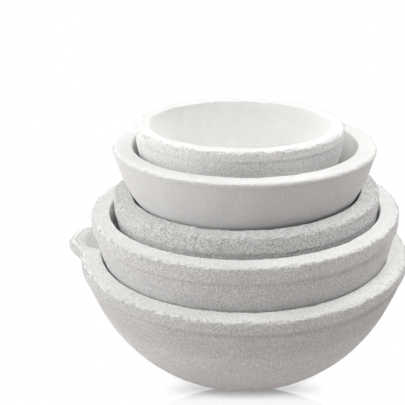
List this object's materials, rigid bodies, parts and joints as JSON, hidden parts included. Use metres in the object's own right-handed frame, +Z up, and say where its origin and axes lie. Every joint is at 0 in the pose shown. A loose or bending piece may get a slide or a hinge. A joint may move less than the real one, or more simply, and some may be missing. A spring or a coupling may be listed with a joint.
{
  "type": "nested crucible dishes",
  "caption": "Nest of round unglazed ceramic crucible dishes stacked one in another, the largest with a pouring spout at its rim.",
  "frame": {"origin": "centre of the largest dish's flat foot, on the surface the nest stands on", "axes": "+Z up, pouring spout towards -X, +Y to the right of someone looking along -X from above the nest"},
  "size_m": [0.1046, 0.1, 0.0779],
  "materials": {
    "fine_ceramic": "unglazed, fine-grained, matt, light warm grey with slightly ragged rim edges",
    "coarse_ceramic": "unglazed, coarse and sandy with small pits, matt, light warm grey"
  },
  "bodies": {
    "largest_dish": {"largest_dish": "fine_ceramic"},
    "fourth_dish": {"fourth_dish": "fine_ceramic"},
    "third_dish": {"third_dish": "coarse_ceramic"},
    "second_dish": {"second_dish": "fine_ceramic"},
    "smallest_dish": {"smallest_dish": "coarse_ceramic"}
  },
  "joints": [
    {"name": "fourth_dish_lift", "type": "slide", "parent": "largest_dish", "child": "fourth_dish", "axis": [0, 0, 1], "range_m": [0, 0.045]},
    {"name": "third_dish_lift", "type": "slide", "parent": "fourth_dish", "child": "third_dish", "axis": [0, 0, 1], "range_m": [0, 0.05]},
    {"name": "second_dish_lift", "type": "slide", "parent": "third_dish", "child": "second_dish", "axis": [0, 0, 1], "range_m": [0, 0.035]},
    {"name": "smallest_dish_lift", "type": "slide", "parent": "second_dish", "child": "smallest_dish", "axis": [0, 0, 1], "range_m": [0, 0.045]}
  ]
}
